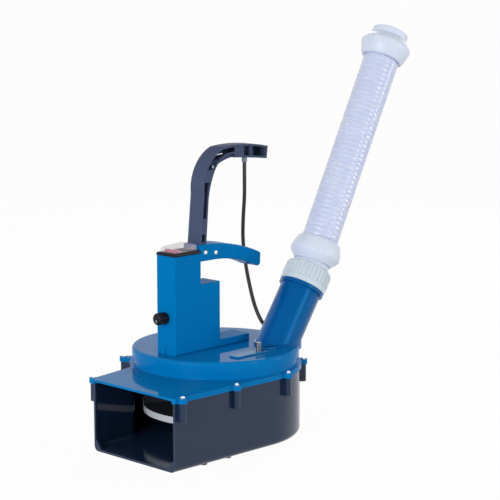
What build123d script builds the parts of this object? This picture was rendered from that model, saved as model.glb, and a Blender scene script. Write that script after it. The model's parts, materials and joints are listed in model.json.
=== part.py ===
from build123d import *
import math
import os

# Hand-held electric granule blower. Millimetres, +Z up, outlet towards -Y.
# Origin: the impeller axis at the floor.

# Casing
foot_height = 2.5
wall = 2.8
scroll_radius = 105
outlet_left = -38
outlet_right = 102
outlet_front = -167
casing_height = 82
outlet_flare = 14
throat_radius = 20
casing_round = 7
flange_thickness = 6
flange_overhang = 2
drum_radius = 104
drum_waist = 102.3
drum_height = 27.7
drum_round = 4
waist_height = 16
deck_thickness = 3
lug_radius = 5.5
screw_radius = 1.5
screw_head_radius = 3
casing_top = foot_height + casing_height
flange_top = casing_top + flange_thickness
waist_top = casing_top + waist_height
deck_top = casing_top + drum_height

# Control column, arch and top handle
column_half = 16
column_front = -84.3
column_top = 232.5
column_back = -39.7
step_top = 194.5
step_back = -7.2
foot_block_back = 44.4
foot_block_top = 121.5
arch_root_top = 242
handle_half = 11.3
handle_wall = 2.6
tongue_half = 8
tongue_bottom = 226

# Drive
motor_radius = 21
motor_length = 44
shaft_radius = 3
impeller_radius = 90.5
impeller_rim = 8
impeller_bottom = 30.5
hub_radius = 13
hub_top = 56

# Feed tube and hose: both lean straight back, the hose a little less
feed_x = 53.5
feed_y = 54.8
tube_tilt = 34.5
hose_tilt = 27.8
tube_radius = 26
tube_bore = 22
tube_length = 92
bead_place = 77.5
collar_height = 4.5
collar_margin = 0.8
cap_nut_radius = 30
cap_nut_start = 80
cap_nut_length = 27
bend_distance = 110
hose_radius = 23.3
cuff_radius = 21.9
hose_bore = 20.2
ridge_pitch = 6.25
hose_bottom = 3
hose_start = 36
hose_ridges = 40
spigot_bore = 18
union_radius = 22.3
union_bore = 17.5
nut_height = 30
hose_end = hose_start + hose_ridges * ridge_pitch
hose_seat = hose_end + nut_height + 2

# Trigger, cable and metering gate
pivot_y = -14.5
pivot_z = 335
trigger_half = 6.5
trigger_travel = 6.5
cable_radius = 2.4
cable_y = 51.5
gate_pin_x = 71.5
gate_pin_y = 2.5
gate_pin_radius = 3.5
gate_thickness = 1.6
gate_lift = 0.3
gate_room = 2.4
gate_travel = 7.5
gate_bore = 20
slot_pitch = 15

handle_floor = 341.6
eps = 0.01


def block(x0, x1, y0, y1, z0, z1):
    """box between two corners"""
    return Pos((x0 + x1) / 2, (y0 + y1) / 2, (z0 + z1) / 2) * Box(x1 - x0, y1 - y0, z1 - z0)


def post(x, y, z0, z1, radius):
    """upright round bar"""
    return Pos(x, y, (z0 + z1) / 2) * Cylinder(radius, z1 - z0)


def bar_x(y, z, x0, x1, radius):
    """round bar along X"""
    return Pos((x0 + x1) / 2, y, z) * Rot(0, 90, 0) * Cylinder(radius, x1 - x0)


def bar_y(x, z, y0, y1, radius):
    """round bar along Y"""
    return Pos(x, (y0 + y1) / 2, z) * Rot(90, 0, 0) * Cylinder(radius, y1 - y0)


def side_slab(outline, x0, x1):
    """solid between two X planes from an outline drawn in Y and Z"""
    return extrude(Plane.YZ.offset(x0) * outline, amount=x1 - x0)


def turned(points):
    """solid of revolution about local Z from radius and height pairs"""
    return revolve(Plane.XZ * make_face(Polyline(*points, close=True)), Axis.Z)


def leaning(x, y, z, tilt):
    """plane whose normal leans back from upright"""
    lean = math.radians(tilt)
    return Plane(origin=(x, y, z), x_dir=(1, 0, 0), z_dir=(0, math.sin(lean), math.cos(lean)))


tube_plane = leaning(feed_x, feed_y, deck_top, tube_tilt)
bend_point = tube_plane.from_local_coords(Vector(0, 0, bend_distance))
hose_plane = leaning(bend_point.X, bend_point.Y, bend_point.Z, hose_tilt)


# ---------------------------------------------------------------- casing

def scroll_outline():
    """drum with a tangential outlet duct, seen from above"""
    reach = math.hypot(outlet_right, outlet_front)
    tangent = math.atan2(outlet_front, outlet_right) + math.acos(scroll_radius / reach)
    duct = make_face(Polyline(
        (outlet_left, outlet_front),
        (outlet_right, outlet_front),
        (scroll_radius * math.cos(tangent), scroll_radius * math.sin(tangent)),
        (outlet_left, 0),
        (outlet_left - outlet_flare, -80),
        close=True,
    ))
    plan = Circle(scroll_radius) + duct
    throat = [v for v in plan.vertices() if outlet_left - outlet_flare < v.X < outlet_left - 2]
    return fillet(throat, throat_radius)


def lug_places():
    """screw lug centres around the flange"""
    reach = scroll_radius + 4.5
    angles = (8, 50, 92, 134, 176)
    round_lugs = [(reach * math.cos(math.radians(a)), reach * math.sin(math.radians(a))) for a in angles]
    duct_lugs = [(outlet_right + 4.6, -158.5), (outlet_right + 5.4, -72), (-101, -62.5), (outlet_left - 4, -163)]
    return round_lugs + duct_lugs


def lug_outline(x, y, radius):
    """round lug with a web back to the casing wall"""
    inward = math.degrees(math.atan2(-y, -x)) if y > outlet_front / 2 else (180 if x > 0 else 0)
    web = Pos(x, y) * Rot(0, 0, inward) * Pos(7, 0) * Rectangle(14, 2 * radius - 0.4)
    return web + Pos(x, y) * Circle(radius)


def round_under(solid, radius):
    """round the lower rim, but leave the edge under the outlet sharp"""
    rim = solid.edges().group_by(Axis.Z)[0]
    return fillet([e for e in rim if e.center().Y > outlet_front + 2 * wall], radius)


def lower_casing():
    """dark scroll tray with an open outlet, screw pillars and corner gussets"""
    plan = scroll_outline()
    tray = round_under(extrude(Pos(0, 0, foot_height) * plan, casing_height), casing_round)
    for x, y in lug_places():
        tray += extrude(Pos(0, 0, casing_top - 22) * lug_outline(x, y, lug_radius - 1.4), 22)
    hollow = extrude(Pos(0, 0, foot_height + wall) * offset(plan, -wall), casing_height)
    hollow = round_under(hollow, casing_round - wall)
    mouth = block(outlet_left + wall, outlet_right - wall, outlet_front - 1, outlet_front + 8,
                  foot_height + wall, casing_top + 1)
    tray = tray - hollow - mouth
    gusset = make_face(Polyline((0, 0), (9, 0), (0, 12), close=True))
    for x, turn in ((outlet_left + wall, 1), (outlet_right - wall, -1)):
        corner = Plane(origin=(x, outlet_front, foot_height + wall), x_dir=(turn, 0, 0), z_dir=(0, -turn, 0))
        tray += extrude(corner * gusset, -3 * turn)
    for x, y in lug_places():
        tray -= post(x, y, casing_top - 14, casing_top, screw_radius)
    return tray


def drum_solid():
    """raised drum with its rounded rim"""
    drum = post(0, 0, waist_top, deck_top, drum_radius)
    return fillet(drum.edges().group_by(Axis.Z)[-1], drum_round)


def upper_casing():
    """blue lid: flange with lugs, duct roof and the raised drum"""
    plan = scroll_outline()
    flange = extrude(Pos(0, 0, casing_top) * offset(plan, flange_overhang), flange_thickness)
    for x, y in lug_places():
        flange += extrude(Pos(0, 0, casing_top) * lug_outline(x, y, lug_radius), flange_thickness)
    waist = post(0, 0, flange_top, waist_top, drum_waist)
    lid = flange + waist + drum_solid()
    inside = turned((
        (0, casing_top - 1), (drum_waist - wall, casing_top - 1), (drum_waist - wall, deck_top - deck_thickness - 3),
        (drum_waist - wall - 3, deck_top - deck_thickness), (0, deck_top - deck_thickness),
    ))
    roof = extrude(Pos(0, 0, casing_top - 1) * offset(plan, -wall), flange_thickness - wall + 1)
    lid -= inside + roof
    lid -= post(feed_x, feed_y, casing_top, deck_top + 1, gate_bore)
    lid += block(-tongue_half, tongue_half, -60, 60, deck_top - deck_thickness - 4, deck_top - deck_thickness)
    lid += post(0, 0, deck_top - deck_thickness - 4, deck_top - deck_thickness, motor_radius + 2)
    lid -= post(0, 0, deck_top - deck_thickness - 4.5, deck_top - 1, 6)
    for x, y in lug_places():
        lid -= post(x, y, casing_top - 1, flange_top + 1, screw_radius)
    for x, y in motor_screw_places() + foot_screw_places():
        lid -= post(x, y, deck_top - 10, deck_top + 1, screw_radius)
    lid -= post(gate_pin_x, gate_pin_y, deck_top - deck_thickness - 1, deck_top + 1, gate_pin_radius)
    return lid


def casing_screws():
    """screws that close the flange"""
    return [screw_down(x, y, flange_top, 20) for x, y in lug_places()]


def screw_down(x, y, z, length):
    """pan-head screw, head above z"""
    head = chamfer(post(x, y, z, z + 2, screw_head_radius).edges().group_by(Axis.Z)[-1], 0.8)
    return head + post(x, y, z - length, z, screw_radius)


def screw_up(x, y, z, length):
    """pan-head screw, head below z"""
    head = chamfer(post(x, y, z - 2, z, screw_head_radius).edges().group_by(Axis.Z)[0], 0.8)
    return head + post(x, y, z, z + length, screw_radius)


def screw_side(y, z, x, length, side):
    """pan-head screw along X, head outside the face at x; side is +1 or -1"""
    head = bar_x(y, z, min(x, x + 2 * side), max(x, x + 2 * side), screw_head_radius)
    outer = head.edges().filter_by(GeomType.CIRCLE).sort_by(Axis.X)[-1 if side > 0 else 0]
    head = chamfer(outer, 0.8)
    return head + bar_x(y, z, min(x, x - length * side), max(x, x - length * side), screw_radius)


def feet():
    """rubber pads under the tray edges"""
    places = [(92, -112), (92, -72), (-34, -112), (-34, -146), (66, 62), (-66, 62), (0, 0)]
    return [post(x, y, 0, foot_height, 4.5) for x, y in places]


# ---------------------------------------------------------------- drive

def motor_screw_places():
    return [(0, 14), (0, -14)]


def foot_screw_places():
    return [(0, -76), (0, -50), (0, 37)]


def motor_top():
    return deck_top - deck_thickness - 4


def motor():
    """drive motor hung under the deck"""
    top = motor_top()
    can = post(0, 0, top - motor_length, top, motor_radius)
    can = fillet(can.edges().group_by(Axis.Z)[0], 3)
    nose = post(0, 0, top - motor_length - 3, top - motor_length, 8)
    body = can + nose - post(0, 0, top - motor_length - 4, top - 4, shaft_radius + 0.05)
    for x, y in motor_screw_places():
        body -= post(x, y, top - 8, top + 1, screw_radius)
    return body


def motor_shaft():
    """steel shaft, through the motor to the impeller hub"""
    return post(0, 0, impeller_bottom + 4, motor_top() - 6, shaft_radius)


def motor_screws():
    return [screw_down(x, y, deck_top, 14) for x, y in motor_screw_places()]


def impeller():
    """spinner pan with a deep rim and four swept paddles"""
    rim_top = impeller_bottom + impeller_rim
    pan = turned((
        (shaft_radius, impeller_bottom), (hub_radius, impeller_bottom), (hub_radius, rim_top - 2.8),
        (impeller_radius - 2.8, rim_top - 2.8), (impeller_radius - 2.8, impeller_bottom),
        (impeller_radius, impeller_bottom), (impeller_radius, rim_top), (hub_radius + 2, rim_top),
        (hub_radius, hub_top), (shaft_radius, hub_top),
    ))
    inner = ThreePointArc((hub_radius - 1, 0), (50, 9), (85, 30))
    outer = ThreePointArc((85, 32.6), (50, 11.6), (hub_radius - 1, 2.6))
    blade = make_face([inner, Line(inner @ 1, outer @ 0), outer, Line(outer @ 1, inner @ 0)])
    paddle = extrude(Pos(0, 0, rim_top - 1) * blade, 10)
    for k in range(4):
        pan += Rot(0, 0, 90 * k - 60) * paddle
    return pan - post(0, 0, impeller_bottom - 1, hub_top + 1, shaft_radius)


def impeller_screw():
    """screw that pulls the impeller onto the shaft end"""
    head = post(0, 0, impeller_bottom - 2, impeller_bottom, 5)
    return head + post(0, 0, impeller_bottom, impeller_bottom + 4, shaft_radius)


# ---------------------------------------------------------------- column and arch

def column_outline():
    """side view of the control column with its step, foot block and arch"""
    arch_tip_y = 65
    face = make_face([
        Polyline((foot_block_back, deck_top), (column_front, deck_top), (column_front, column_top),
                 (column_back, column_top), (column_back, arch_root_top)),
        ThreePointArc((column_back, arch_root_top), (14, 238), (arch_tip_y, 222)),
        Line((arch_tip_y, 222), (arch_tip_y - 1, 203)),
        ThreePointArc((arch_tip_y - 1, 203), (28, 216.4), (-13, 222)),
        Polyline((-13, 222), (column_back, 222), (column_back, step_top), (step_back, step_top),
                 (step_back, foot_block_top), (foot_block_back, foot_block_top), (foot_block_back, deck_top)),
    ])
    tips = [v for v in face.vertices() if v.X > arch_tip_y - 2]
    return fillet(tips, 4)


def column_screw_places():
    """screws seen on the hidden side, low on the column"""
    return [(-70, 125), (-18, 128), (-55, 200), (-18, 182)]


def arch_screw_places():
    """screws seen on the right side, at the arch root"""
    return [(-31.5, 232.5), (-14, 230.5)]


def column_shell(side):
    """one half of the column; side is +1 for the right half and -1 for the left"""
    outline = column_outline()
    shell = side_slab(outline, 0, column_half)
    rim = [e for e in shell.edges() if e.center().X > column_half - eps]
    shell = fillet(rim, 2)
    shell -= side_slab(offset(outline, -wall), -1, column_half - wall)
    for y, z in column_screw_places() + arch_screw_places():
        shell += bar_x(y, z, 0, column_half - 1, 3.6)
    for y, z in arch_screw_places():
        shell -= bar_x(y, z, column_half - 1.4, column_half + 1, screw_head_radius + 0.6)
    if side < 0:
        shell = mirror(shell, Plane.YZ)
    return shell - column_cuts()


def column_cuts():
    """openings shared by the two halves"""
    cuts = block(-tongue_half, tongue_half, -37.3, -25.5, tongue_bottom, arch_root_top + 2)
    cuts += block(-handle_half, handle_half, -37.3, -25.5, arch_root_top, arch_root_top + 3)
    cuts += block(-12.5, 12.5, -80, -45, column_top - wall - 1, column_top + 1)
    cuts += bar_y(0, knob_height, column_front - 1, column_front + wall + 1, 4)
    cuts += block(-1.5, 1.5, column_front - 1, column_front + 1.2, deck_top - 1, deck_top + 9)
    cuts += bar_y(0, inlet_height, step_back - wall - 1, step_back + 1, 6)
    for y, z in column_screw_places() + arch_screw_places():
        cuts += bar_x(y, z, -column_half - 1, column_half + 1, screw_radius)
    for x, y in foot_screw_places():
        cuts += post(x, y, deck_top - 1, deck_top + wall + 1, screw_radius)
    for x, y in motor_screw_places():
        cuts += post(x, y, deck_top - 1, deck_top + 2.4, screw_head_radius + 0.4)
    return cuts


def column_screws():
    """screws that join the two halves, heads on the left"""
    return [screw_side(y, z, -column_half, 24, -1) for y, z in column_screw_places()]


def arch_screws():
    """screws that join the two halves through the handle tongue, heads on the right"""
    return [screw_side(y, z, column_half - 1.4, 22, 1) for y, z in arch_screw_places()]


def foot_screws():
    """screws from inside the drum up into the column foot"""
    return [screw_up(x, y, motor_top() if abs(y) < 60 else deck_top - deck_thickness, 12)
            for x, y in foot_screw_places()]


# ---------------------------------------------------------------- switch, knob and inlet

knob_height = 157.5
knob_radius = 7.5
inlet_height = 150
switch_y = -62.5
trunnion_radius = 1.6


def switch_bezel():
    """black frame on top of the column"""
    frame = block(-column_half, column_half, column_front, column_back - 0.3, column_top, column_top + 4)
    frame = chamfer(frame.edges().group_by(Axis.Z)[-1], 1.5)
    return frame - block(-10.2, 10.2, -78.2, -46.8, column_top - 1, column_top + 5)


def switch_body():
    """switch housing inside the column top"""
    body = block(-12.5, 12.5, -80, -45, column_top - 26, column_top)
    body -= block(-10.2, 10.2, -78.2, -46.8, column_top - 12, column_top + 1)
    return body - bar_x(switch_y, column_top - 3, -12, 12, trunnion_radius + 0.05)


def switch_rocker():
    """red rocker that pivots about X"""
    half = 14
    key = make_face([
        Line((-half, 2), (half, 4.4)), Line((half, 4.4), (half, -2)),
        ThreePointArc((half, -2), (0, -7.5), (-half, -2)), Line((-half, -2), (-half, 2)),
    ])
    rocker = side_slab(Pos(switch_y, column_top) * key, -9.4, 9.4)
    return rocker + bar_x(switch_y, column_top - 3, -11.8, 11.8, trunnion_radius)


def switch_cover():
    """clear rubber dome over the rocker"""
    dome = block(-13.2, 13.2, -81, -44, column_top + 4, column_top + 11)
    dome = fillet(dome.edges().group_by(Axis.Z)[-1], 5)
    inner = block(-12, 12, -79.8, -45.2, column_top, column_top + 9.8)
    return dome - fillet(inner.edges().group_by(Axis.Z)[-1], 4)


def knob():
    """ribbed speed knob on the column front"""
    tip = column_front - 16
    body = bar_y(0, knob_height, tip, column_front - 0.6, knob_radius)
    body = chamfer(body.edges().filter_by(GeomType.CIRCLE).sort_by(Axis.Y)[0], 1.2)
    for k in range(18):
        around = math.radians(20 * k)
        body -= bar_y(knob_radius * math.cos(around), knob_height + knob_radius * math.sin(around),
                      tip - 1, column_front - 5, 0.6)
    return body - bar_y(0, knob_height, column_front - 11, column_front, shaft_radius)


def speed_shaft():
    """control shaft that the knob sits on"""
    return bar_y(0, knob_height, column_front - 11, column_front + wall + 2, shaft_radius)


def speed_control():
    """potentiometer behind the column front"""
    body = bar_y(0, knob_height, column_front + wall, column_front + wall + 9, 8)
    body -= bar_y(0, knob_height, column_front, column_front + wall + 2, shaft_radius + 0.05)
    return body


def power_inlet():
    """round low-voltage socket on the column's rear face"""
    flange = bar_y(0, inlet_height, step_back, step_back + 2, 8)
    barrel = bar_y(0, inlet_height, step_back - 14, step_back, 6)
    return flange + barrel - bar_y(0, inlet_height, step_back - 9, step_back + 3, 3)


def control_board():
    """speed controller board, upright in the column"""
    return block(-8, 8, -34, -32.4, 136, 176)


# ---------------------------------------------------------------- top handle and trigger

def handle_outline():
    """side view of the J-shaped handle"""
    return make_face([
        Polyline((-25.5, arch_root_top), (-37.3, arch_root_top), (-31.5, 302.5)),
        ThreePointArc((-31.5, 302.5), (-20.8, 340.5), (2.4, 357.7)),
        ThreePointArc((2.4, 357.7), (36, 359.4), (82.8, 354)),
        Line((82.8, 354), (80.8, 338.4)),
        ThreePointArc((80.8, 338.4), (52, 341.4), (24, 343.5)),
        Line((24, 343.5), (24, 348)),
        ThreePointArc((24, 348), (3, 343.5), (-9.7, 331.2)),
        ThreePointArc((-9.7, 331.2), (-17.4, 313), (-21.8, 288)),
        Line((-21.8, 288), (-25.5, arch_root_top)),
    ])


def handle_solid_zones():
    """stretches of the handle that stay solid between its pockets"""
    return (
        side_slab(Pos(-30, 263.5) * Rectangle(30, 19), -20, 20)
        + side_slab(Pos(-22, 324) * Rectangle(34, 15), -20, 20)
        + side_slab(Pos(37.6, 350) * Rectangle(2.4, 30), -20, 20)
        + side_slab(Pos(52.4, 350) * Rectangle(2.4, 30), -20, 20)
    )


def top_handle():
    """dark channel-section handle, pocketed from the right"""
    outline = handle_outline()
    grip = side_slab(outline, -handle_half, handle_half)
    back_rim = [e for e in grip.edges() if abs(e.center().X) > handle_half - eps
                and e.length > 14]
    grip = fillet(back_rim, 1.6)
    pockets = side_slab(offset(outline, -handle_wall), -handle_half + handle_wall, handle_half + 1)
    grip -= pockets - handle_solid_zones()
    grip += side_slab(Pos(30.5, 350.5) * Rectangle(12, 12), handle_half - 2.4, handle_half - 0.4)
    grip += block(-tongue_half, tongue_half, -37.3, -25.5, tongue_bottom, arch_root_top)
    grip -= trigger_space()
    grip -= bar_x(pivot_y, pivot_z, -handle_half - 1, handle_half + 1, 2)
    grip -= post(0, cable_y, handle_floor - 6, handle_floor + 6, cable_radius + 1)
    for y, z in arch_screw_places()[:1]:
        grip -= bar_x(y, z, -tongue_half - 1, tongue_half + 1, screw_radius)
    return grip


def trigger_space():
    """room for the trigger hub, its finger lever and its long arm"""
    half = trigger_half + 0.5
    space = bar_x(pivot_y, pivot_z, -half, half, 5.6)
    space += side_slab(make_face(Polyline(
        (pivot_y, pivot_z + 5.4), (-8, pivot_z - 8), (27, 340), (27, 352.8), (4, 353.4), close=True)), -half, half)
    space += side_slab(make_face(Polyline(
        (20, 344.6), (56.5, 344.6), (56.5, 356), (20, 353.4), close=True)), -4, 4)
    return space


def trigger():
    """finger lever with a long arm that lifts the cable end"""
    lever = side_slab(make_face([
        ThreePointArc((-12, 331), (6, 340), (24, 344)),
        Line((24, 344), (24, 347.4)),
        ThreePointArc((24, 347.4), (4, 345.2), (-15, 339)),
        Line((-15, 339), (-12, 331)),
    ]), -trigger_half, trigger_half)
    arm = side_slab(make_face(Polyline(
        (18, 344.9), (cable_y + 4, 345.2), (cable_y + 4, 347.8), (18, 347.4), close=True)), -3, 3)
    body = lever + arm + bar_x(pivot_y, pivot_z, -trigger_half, trigger_half, 4.5)
    return body - bar_x(pivot_y, pivot_z, -trigger_half - 1, trigger_half + 1, 2.05)


def trigger_pin():
    """steel pin across the handle"""
    return bar_x(pivot_y, pivot_z, -handle_half, handle_half, 2)


# ---------------------------------------------------------------- cable and gate

def cable_route():
    """centre line of the outer cable, handle to deck stop"""
    return [
        (0, cable_y, handle_floor + 2), (0, cable_y, 321), (-5, 57, 292), (-16.5, 66, 262),
        (-22.5, 71.5, 232), (-16.5, 70, 204), (-6, 66.5, 178), (4, 64, 156), (13.5, 62.5, 141.5),
        (19.5, 65, 130.5), (23, 72, 122.5),
    ]


def cable():
    """outer cable: straight runs joined by wide arcs"""
    route = [Vector(*p) for p in cable_route()]
    radii = []
    for before, at, after in zip(route, route[1:], route[2:]):
        turn = math.radians((at - before).get_angle(after - at))
        radii.append(0.45 * min((at - before).length, (after - at).length) / math.tan(turn / 2))
    path = FilletPolyline(*route, radius=radii)
    section = Plane(origin=path @ 0, z_dir=path % 0) * Circle(cable_radius)
    tube = sweep(section, path=path)
    print("cable radii", [round(r) for r in radii])
    print("cable length", round(path.length, 1), "volume ratio",
          round(tube.volume / (math.pi * cable_radius ** 2 * path.length), 4))
    return tube


def cable_stop_plane():
    last = Vector(*cable_route()[-1])
    return Plane(origin=last, z_dir=last - Vector(*cable_route()[-2]))


def cable_stop():
    """steel bracket on the deck that holds the lower cable end"""
    plane = cable_stop_plane()
    ferrule = plane * (Pos(0, 0, 3) * Cylinder(3.6, 6))
    web = plane * (Pos(0, 0, 3) * Box(7, 7, 6))
    leg = block(15, 25, 64, 76, deck_top, deck_top + 1.6)
    stem = block(19, 24, 66, 74, deck_top + 1, 119)
    return ferrule + web + leg + stem - plane * Cylinder(0.8, 30)


def handle_ferrule():
    """end sleeve of the cable in the handle floor"""
    sleeve = post(0, cable_y, handle_floor - 6, handle_floor + 2, cable_radius + 1)
    return sleeve - post(0, cable_y, handle_floor - 7, handle_floor + 3, cable_radius)


def rounded_plate(x0, x1, y0, y1, z, height, radius):
    """flat plate with rounded corners"""
    outline = RectangleRounded(x1 - x0, y1 - y0, radius)
    return extrude(Pos((x0 + x1) / 2, (y0 + y1) / 2, z) * outline, height)


def gate_slots(shift, z0, z1):
    """two metering slots across the feed, moved along Y by the shift"""
    near = feed_y - slot_pitch / 2 + shift
    slots = block(feed_x - 8, feed_x + 8, near - 3, near + 3, z0, z1)
    return slots + Pos(0, slot_pitch, 0) * slots


def gate_plate():
    """sliding metering shutter: slotted plate, front guide tongue and rear arm with a lug"""
    z = deck_top + gate_lift
    plate = rounded_plate(feed_x - 10.5, feed_x + 12.5, feed_y - 13.5, feed_y + 21.5, z, gate_thickness, 6)
    plate += block(56, 72, 8, feed_y - 7, z, z + gate_thickness)
    plate += rounded_plate(62, 78, -40, 16, z, gate_thickness, 3)
    plate += block(29, 50, feed_y + 10, feed_y + 17, z, z + gate_thickness)
    plate += rounded_plate(27.5, 34.5, feed_y + 10, 92.5, z, gate_thickness, 3)
    plate += post(31, 89, z, z + 5, 2.6)
    plate -= gate_slots(gate_travel, z - 1, z + gate_thickness + 1)
    guide = gate_pin_radius + 0.1
    plate -= rounded_plate(gate_pin_x - guide, gate_pin_x + guide, gate_pin_y - guide,
                           gate_pin_y + gate_travel + guide, z - 1, gate_thickness + 2, guide - eps)
    return plate


def gate_floor():
    """slotted metering floor under the shutter, closing the bore of the drum"""
    return post(feed_x, feed_y, deck_top - deck_thickness, deck_top, gate_bore) - gate_slots(
        0, deck_top - deck_thickness - 1, deck_top + 1)


def gate_pin():
    """steel post that guides the front of the shutter"""
    return post(gate_pin_x, gate_pin_y, deck_top - deck_thickness, deck_top + 12.5, gate_pin_radius)


def feed_tube():
    """blue feed tube with its saddle collar on the drum, room for the shutter under its foot"""
    outer = tube_plane * (Pos(0, 0, tube_length / 2 - 20) * Cylinder(tube_radius, tube_length + 40))
    outer -= block(-200, 200, -200, 200, deck_top - 100, deck_top + 1)
    stretch = 1 / math.cos(math.radians(tube_tilt))
    foot = Ellipse(tube_radius + collar_margin, tube_radius * stretch + collar_margin)
    collar = extrude(Pos(feed_x, feed_y + 1.2, deck_top - 6) * foot, 6 + collar_height)
    body = collar + outer
    body -= drum_solid()
    body += tube_plane * (Pos(0, 0, bead_place) * Cylinder(tube_radius + 3, 4))
    bore = tube_plane * (Pos(0, 0, tube_length / 2) * Cylinder(tube_bore, tube_length + 20))
    body -= bore - block(-200, 200, -200, 200, deck_top - 100, deck_top + collar_height)
    body -= block(feed_x - 9, feed_x + 9, feed_y - 12, feed_y + 12, deck_top - 1, deck_top + collar_height + 1)
    body -= rounded_plate(feed_x - 12, feed_x + 14, feed_y - 22.5, feed_y + 23, deck_top - 1, gate_room + 1, 8)
    body -= block(55.5, 72.5, feed_y - 40, feed_y - 6.5, deck_top - 1, deck_top + gate_room)
    return body - block(20, 51, feed_y + 1.5, feed_y + 18, deck_top - 1, deck_top + gate_room) - block(
        20, 36.5, feed_y + 1.5, 100, deck_top - 1, deck_top + gate_room)


# ---------------------------------------------------------------- hose

def tube_cap_nut():
    """white nut on the feed tube end: smooth band below, ribs above"""
    start = cap_nut_start
    end = start + cap_nut_length
    step = tube_length + 3.2
    nut = turned((
        (tube_radius + 0.05, start), (cap_nut_radius - 0.7, start), (cap_nut_radius - 0.3, start + 6),
        (cap_nut_radius - 1.1, start + 7), (cap_nut_radius - 1.1, end - 4), (cap_nut_radius - 3.5, end),
        (union_radius + 0.8, end), (union_radius + 0.8, step), (tube_radius + 0.05, step),
    ))
    rib = Pos(cap_nut_radius - 0.9, 0, start + 15) * Box(1.6, 1.9, 16)
    for k in range(40):
        nut += Rot(0, 0, 360 / 40 * k) * rib
    return tube_plane * nut


def union_tail():
    """angled spigot clamped on the tube end, with the hose pushed over it"""
    tail = tube_plane * turned((
        (0, tube_length), (tube_radius - 0.4, tube_length), (tube_radius - 0.4, tube_length + 3),
        (union_radius - 0.5, tube_length + 3), (union_radius - 0.5, bend_distance + 0.5), (0, bend_distance + 0.5),
    ))
    tail += hose_plane * turned((
        (0, -1.5), (union_radius + 0.5, -1.5), (union_radius + 0.5, hose_bottom),
        (hose_bore, hose_bottom), (hose_bore, hose_start - 4), (0, hose_start - 4),
    ))
    tail -= tube_plane * (Pos(0, 0, (tube_length + bend_distance) / 2 - 2) * Cylinder(
        union_bore, bend_distance - tube_length + 4))
    return tail - hose_plane * (Pos(0, 0, 16) * Cylinder(union_bore - 0.5, 40))


def hose_nut(start, direction):
    """rounded union nut around a hose cuff, its slender end away from the start"""
    bore = cuff_radius + 0.05
    profile = ((bore, 0), (24, 0), (32, 9.5), (32, 13), (31, 19), (28.5, 27), (26, nut_height), (bore, nut_height))
    return hose_plane * turned([(r, start + direction * z) for r, z in profile])


def lower_nut():
    """union nut at the feed tube end"""
    return hose_nut(hose_start - nut_height - 1.7, 1)


def upper_nut():
    """union nut at the hopper end"""
    return hose_nut(hose_seat - 0.5, -1)


def hose():
    """corrugated hose with plain cuffs"""
    points = [(hose_bore, hose_bottom), (cuff_radius, hose_bottom), (cuff_radius, hose_start)]
    for k in range(hose_ridges):
        z = hose_start + k * ridge_pitch
        points += [(hose_radius, z + ridge_pitch / 2), (cuff_radius, z + ridge_pitch)]
    points += [(cuff_radius, hose_seat), (hose_bore, hose_seat)]
    return hose_plane * turned(points)


def hose_coupling():
    """rounded end sleeve that a hopper outlet pushes into"""
    outer = hose_radius + 0.3
    return hose_plane * turned((
        (spigot_bore, hose_seat - 8), (hose_bore, hose_seat - 8), (hose_bore, hose_seat), (outer, hose_seat),
        (outer, hose_seat + 8), (outer - 2.8, hose_seat + 10.5), (spigot_bore, hose_seat + 10.5),
    ))


parts = {
    "lower_casing": lower_casing,
    "upper_casing": upper_casing,
    "casing_screws": casing_screws,
    "feet": feet,
    "motor": motor,
    "motor_shaft": motor_shaft,
    "motor_screws": motor_screws,
    "impeller": impeller,
    "impeller_screw": impeller_screw,
    "column_shell_right": lambda: column_shell(1),
    "column_shell_left": lambda: column_shell(-1),
    "column_screws": column_screws,
    "arch_screws": arch_screws,
    "foot_screws": foot_screws,
    "switch_bezel": switch_bezel,
    "switch_body": switch_body,
    "switch_rocker": switch_rocker,
    "switch_cover": switch_cover,
    "speed_knob": knob,
    "speed_shaft": speed_shaft,
    "speed_control": speed_control,
    "power_inlet": power_inlet,
    "control_board": control_board,
    "top_handle": top_handle,
    "trigger": trigger,
    "trigger_pin": trigger_pin,
    "cable": cable,
    "cable_stop": cable_stop,
    "handle_ferrule": handle_ferrule,
    "gate_plate": gate_plate,
    "gate_floor": gate_floor,
    "gate_pin": gate_pin,
    "feed_tube": feed_tube,
    "tube_cap_nut": tube_cap_nut,
    "union_tail": union_tail,
    "lower_nut": lower_nut,
    "hose": hose,
    "upper_nut": upper_nut,
    "hose_coupling": hose_coupling,
}

os.makedirs("parts", exist_ok=True)
for name, make in parts.items():
    shape = make()
    if isinstance(shape, list):
        shape = Compound(children=shape)
    export_step(shape, "parts/" + name + ".step")
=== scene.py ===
import json
import math
import bpy
import bmesh
from mathutils import Matrix, Vector


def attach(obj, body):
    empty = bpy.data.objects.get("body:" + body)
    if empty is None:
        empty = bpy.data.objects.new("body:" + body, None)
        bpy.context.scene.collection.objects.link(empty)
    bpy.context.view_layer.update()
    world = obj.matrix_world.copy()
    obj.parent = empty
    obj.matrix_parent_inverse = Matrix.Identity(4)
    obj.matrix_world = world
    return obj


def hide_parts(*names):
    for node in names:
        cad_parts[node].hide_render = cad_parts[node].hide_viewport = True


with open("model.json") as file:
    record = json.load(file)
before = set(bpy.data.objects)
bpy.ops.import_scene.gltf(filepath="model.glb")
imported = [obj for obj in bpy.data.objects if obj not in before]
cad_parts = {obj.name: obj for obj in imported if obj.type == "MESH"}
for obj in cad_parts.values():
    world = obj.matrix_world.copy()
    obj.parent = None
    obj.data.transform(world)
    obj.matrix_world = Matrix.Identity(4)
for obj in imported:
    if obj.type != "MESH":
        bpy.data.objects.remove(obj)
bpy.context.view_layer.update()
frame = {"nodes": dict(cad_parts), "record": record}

scene = bpy.context.scene
mm = 0.001
weld = 2e-6   # corners of a CAD mesh nearer than this are one


# Camera, in metres

cameraSetup = {
    "place": (1.4210, -1.4112, 0.5521),
    "lookAt": (0.0307, 0.0297, 0.23025),
    "lens": 118.57,
    "sensor": 36,
    "farLimit": 300,
}


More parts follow.
